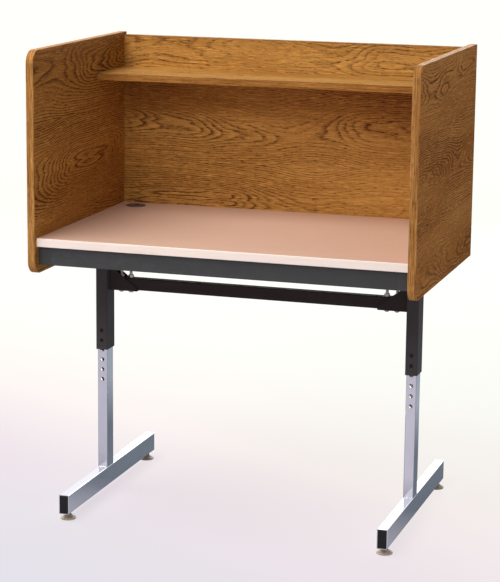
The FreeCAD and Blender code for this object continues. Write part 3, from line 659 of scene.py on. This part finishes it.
# crossbar bolts: domed heads below, threads standing out of the nuts above
lo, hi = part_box("crossbar_bolts")
nlo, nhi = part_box("crossbar_nuts")
by = (lo.y + hi.y) / 2
bm = bmesh.new()
for s in (-1, 1):
    for bx in (0.3285, 0.3539):
        z0 = lo.z - 0.0016
        dome = [(0.0, z0)] + [(0.0072 * math.sin(math.radians(a)), z0 + 0.0056 * (1 - math.cos(math.radians(a)))) for a in (15, 30, 45, 60, 75, 88)]
        lathe(bm, s * bx, by, dome + [(0.0072, z0 + 0.0059), (0.0069, z0 + 0.0062), (0.0034, z0 + 0.0062),
                                     (0.0034, hi.z - 0.0007), (0.0028, hi.z), (0.0, hi.z)], 40)
        thread(bm, s * bx, by, nlo.z - 0.002, hi.z - 0.0004, 0.0034, 0.0039, 0.00125)
o = finish_mesh("crossbar_carriage_bolts", bm, "zinc", "carrel", 35)
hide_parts("crossbar_bolts")

# weld beads
for s, hand in ((-1, "left"), (1, "right")):
    llo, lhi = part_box(f"{hand}_inner_leg")
    flo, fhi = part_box(f"{hand}_foot_tube")
    cx = (llo.x + lhi.x) / 2
    bm = bmesh.new()
    bead(bm, (cx - 0.0106, llo.y - 0.0002, fhi.z + 0.0002), (cx + 0.0106, llo.y - 0.0002, fhi.z + 0.0002), (0, -1, 1), 0.0017, 3 + s)
    bead(bm, (cx + 0.0106, lhi.y + 0.0002, fhi.z + 0.0002), (cx - 0.0106, lhi.y + 0.0002, fhi.z + 0.0002), (0, 1, 1), 0.0017, 5 + s)
    finish_mesh(f"{hand}_foot_weld", bm, "chrome", f"{hand}_leg", 60)
    glo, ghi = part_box(f"{hand}_gusset_bracket")
    slo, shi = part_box(f"{hand}_leg_sleeve")
    xe = slo.x if s > 0 else shi.x
    bm = bmesh.new()
    bead(bm, (xe, glo.y - 0.0001, glo.z + 0.004), (xe, glo.y - 0.0001, ghi.z - 0.004), (-s, -1, 0), 0.0019, 7 + s)
    bead(bm, (xe, ghi.y + 0.0001, ghi.z - 0.004), (xe, ghi.y + 0.0001, glo.z + 0.004), (-s, 1, 0), 0.0019, 9 + s)
    top = shi.z
    for a, b, n in (((slo.x + 0.003, slo.y), (shi.x - 0.003, slo.y), (0, -1, -1)), ((shi.x - 0.003, shi.y), (slo.x + 0.003, shi.y), (0, 1, -1)),
                    ((slo.x, shi.y - 0.003), (slo.x, slo.y + 0.003), (-1, 0, -1)), ((shi.x, slo.y + 0.003), (shi.x, shi.y - 0.003), (1, 0, -1))):
        bead(bm, (*a, top), (*b, top), n, 0.0018, 11 + s)
    finish_mesh(f"{hand}_sleeve_welds", bm, "black", "carrel", 60)


# ============================================================== floor and light
def floor_material():
    """Seamless studio paper that glows: its painted light is near white behind, a little cooler and greyer in front,
    and dimmer near the object. It is clear from below, so that the underside can be looked at."""
    M = Mat("studio_floor")
    x, y, z = M.split(M.obj)
    n = M.noise(M.obj, 1.3, 2.0, 0.5)
    s = M.math("ADD", M.math("MULTIPLY", x, 0.654), M.math("MULTIPLY", y, 1.254))
    f = M.math("ADD", M.rng(s, -8.0, 2.85, 0.0, 1.0), M.math("MULTIPLY_ADD", n, 0.011, -0.0055), clamp=True)
    # painted light: the glow is graded over the paper, near white behind and cooler and greyer in front
    col = M.ramp(f, [(0.0, lin(254, 255, 250)), (0.092, lin(250, 250, 248)), (0.415, lin(226, 223, 232)), (0.631, lin(224, 222, 232)),
                     (0.679, lin(229, 224, 231)), (0.720, lin(236, 227, 233)), (0.746, lin(242, 234, 237)), (0.779, lin(251, 244, 242)),
                     (0.827, lin(254, 250, 246)), (0.889, lin(254, 254, 249)), (1.0, lin(254, 255, 249))])
    paper = M.noise(M.obj, 240.0, 3.0, 0.6)
    M.set(M.mix(1.0, col, (0.17, 0.17, 0.17, 1.0), "MULTIPLY"), 0.9, M.bump(paper, 0.03, 0.0003), Specular_IOR_Level=0.0)
    # painted light: the glow is dimmed near the object, where the lamps add to it
    glow_dimmed_near_object = M.rng(M.math("SQRT", M.math("ADD", M.math("MULTIPLY", x, x), M.math("MULTIPLY", y, y))), 0.8, 6.0, 0.86, 1.0)
    M.put(M.b.inputs["Emission Color"], M.mix(1.0, col, M.join(glow_dimmed_near_object, glow_dimmed_near_object, glow_dimmed_near_object), "MULTIPLY"))
    M.b.inputs["Emission Strength"].default_value = 1.0
    geo = M.nt.nodes.new("ShaderNodeNewGeometry")
    clear = M.nt.nodes.new("ShaderNodeBsdfTransparent")
    pick = M.nt.nodes.new("ShaderNodeMixShader")
    M.put(pick.inputs[0], geo.outputs["Backfacing"])
    M.put(pick.inputs[1], M.b.outputs[0])
    M.put(pick.inputs[2], clear.outputs[0])
    M.put(M.out.inputs["Surface"], pick.outputs[0])
    return M.m


def bounce_material():
    """A glowing sheet under the floor, unseen by the camera: its painted glow is the light the object gets from below,
    and the painted reflection the chrome shows.
    """
    M = Mat("studio_bounce")
    x, y, z = M.split(M.obj)
    # painted light and reflection: pale in front, grey bands and then dark behind, as the chrome is to show them
    front = M.mix(M.rng(x, -0.9, 0.6, 0.0, 1.0), lin(230, 227, 238), lin(246, 241, 251))
    painted_reflection_behind = M.ramp(M.rng(y, 0.0, 5.0, 0.0, 1.0), [(0.0, lin(140, 150, 160)), (0.12, lin(142, 153, 164)), (0.22, lin(206, 216, 226)),
                                                   (0.34, lin(196, 208, 218)), (0.55, lin(96, 98, 102)), (1.0, lin(60, 60, 62))])
    col = M.mix(M.rng(y, -0.42, 0.10, 0.0, 1.0), front, painted_reflection_behind)
    M.set(M.mix(1.0, col, (0.35, 0.35, 0.35, 1.0), "MULTIPLY"), 0.9, Specular_IOR_Level=0.0)
    M.put(M.b.inputs["Emission Color"], col)
    M.b.inputs["Emission Strength"].default_value = 0.55
    geo = M.nt.nodes.new("ShaderNodeNewGeometry")
    clear = M.nt.nodes.new("ShaderNodeBsdfTransparent")
    pick = M.nt.nodes.new("ShaderNodeMixShader")
    M.put(pick.inputs[0], geo.outputs["Backfacing"])
    M.put(pick.inputs[1], M.b.outputs[0])
    M.put(pick.inputs[2], clear.outputs[0])
    M.put(M.out.inputs["Surface"], pick.outputs[0])
    return M.m


def sheet_floor(name, z, mat):
    bm = bmesh.new()
    S, N = 60.0, 24
    grid = [[bm.verts.new((-S + 2 * S * i / N, -S + 2 * S * j / N, z)) for j in range(N + 1)] for i in range(N + 1)]
    for i in range(N):
        for j in range(N):
            bm.faces.new((grid[i][j], grid[i + 1][j], grid[i + 1][j + 1], grid[i][j + 1]))
    me = bpy.data.meshes.new(name)
    bm.to_mesh(me)
    bm.free()
    o = bpy.data.objects.new(name, me)
    bpy.context.scene.collection.objects.link(o)
    dress(o, mat)
    o.visible_shadow = False
    o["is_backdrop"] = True
    # the floor is wherever the lowest glide stands: it is held down to each glide's height
    o.location.z = 5.0
    for g in ("glide_front_left", "glide_front_right", "glide_rear_left", "glide_rear_right"):
        c = o.constraints.new("FLOOR")
        c.target = frame["bodies"][g]
        c.floor_location = "FLOOR_NEGATIVE_Z"
        c.offset = 0.0
    return o


floor = sheet_floor("studio_floor", -0.0006, floor_material())
floor.visible_diffuse = False
floor.visible_glossy = False
bounce = sheet_floor("studio_bounce", -0.0012, bounce_material())
bounce.visible_camera = False

world = bpy.data.worlds.new("studio")
bpy.context.scene.world = world
world.use_nodes = True
wn, wl = world.node_tree.nodes, world.node_tree.links
bg = next(n for n in wn if n.type == "BACKGROUND")
path = wn.new("ShaderNodeLightPath")
m1 = wn.new("ShaderNodeMix")
m1.data_type = "RGBA"
m1.inputs[6].default_value = (0.125, 0.12, 0.117, 1.0)     # light on the object
m1.inputs[7].default_value = (1.30, 1.30, 1.30, 1.0)     # what its gloss shows
wl.new(path.outputs["Is Glossy Ray"], m1.inputs[0])
m2 = wn.new("ShaderNodeMix")
m2.data_type = "RGBA"
m2.inputs[7].default_value = lin(254, 255, 250)          # backdrop
wl.new(path.outputs["Is Camera Ray"], m2.inputs[0])
wl.new(m1.outputs[2], m2.inputs[6])
wl.new(m2.outputs[2], bg.inputs[0])
bg.inputs[1].default_value = 1.0


def area(name, loc, target, size, power, color=(1, 1, 1)):
    l = bpy.data.lights.new(name, "AREA")
    l.shape = "RECTANGLE"
    l.size, l.size_y = size
    l.energy = power
    l.color = color
    o = bpy.data.objects.new(name, l)
    o.location = loc
    o.rotation_mode = "QUATERNION"
    o.rotation_quaternion = (Vector(target) - Vector(loc)).to_track_quat("-Z", "Y")
    bpy.context.scene.collection.objects.link(o)
    return o


area("key_overhead", (-1.3, -0.9, 3.1), (0.0, 0.05, 0.75), (2.0, 1.8), 75, (1.0, 0.985, 0.95))
area("fill_front", (-0.55, -3.5, 3.0), (0.0, 0.0, 0.7), (1.5, 1.2), 58, (1.0, 0.98, 0.96))
area("fill_camera", (1.7, -4.4, 1.7), (0.0, 0.0, 0.7), (1.0, 1.0), 6, (1.0, 0.985, 0.97))
kicker = area("kicker", (1.85, -4.0, 1.75), (0.0, -0.05, 0.33), (0.3, 0.3), 1250, (1.0, 1.0, 1.0))
# a small light by the camera, on the legs only, that shines in through their pin holes
kicker.visible_glossy = False
lit = bpy.data.collections.new("lit_by_kicker")
for n in ("left_inner_leg", "right_inner_leg"):
    lit.objects.link(nodes[n])
kicker.light_linking.receiver_collection = lit
area("side_right", (2.7, 0.25, 0.85), (0.45, 0.0, 0.80), (1.4, 1.0), 7.5, (1.0, 0.97, 0.92))
area("side_left", (-3.4, 0.4, 1.0), (-0.45, 0.0, 0.80), (1.8, 1.4), 24, (1.0, 0.985, 0.96))
area("back_soft", (-0.6, 3.8, 1.9), (0.0, 0.3, 0.75), (2.4, 1.8), 42, (1.0, 0.985, 0.96))

# ====================================================================== camera
cam = bpy.data.cameras.new("camera")
cam.lens = 129.713
cam.sensor_width = 36.0
cam.clip_start, cam.clip_end = 0.05, 200.0
camera = bpy.data.objects.new("camera", cam)
bpy.context.scene.collection.objects.link(camera)
yaw, pitch, roll = map(math.radians, (17.46, 11.735, 0.607))
fwd = Vector((-math.sin(yaw) * math.cos(pitch), math.cos(yaw) * math.cos(pitch), -math.sin(pitch)))
right = Vector((math.cos(yaw), math.sin(yaw), 0.0))
up = right.cross(fwd)
r2 = right * math.cos(roll) + up * math.sin(roll)
u2 = up * math.cos(roll) - right * math.sin(roll)
m = Matrix((r2, u2, -fwd)).transposed().to_4x4()
m.translation = Vector((1.494129, -4.808547, 1.592747))
camera.matrix_world = m
bpy.context.scene.camera = camera
bpy.context.scene.view_settings.view_transform = "Standard"
bpy.context.scene.view_settings.look = "None"

lo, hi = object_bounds()
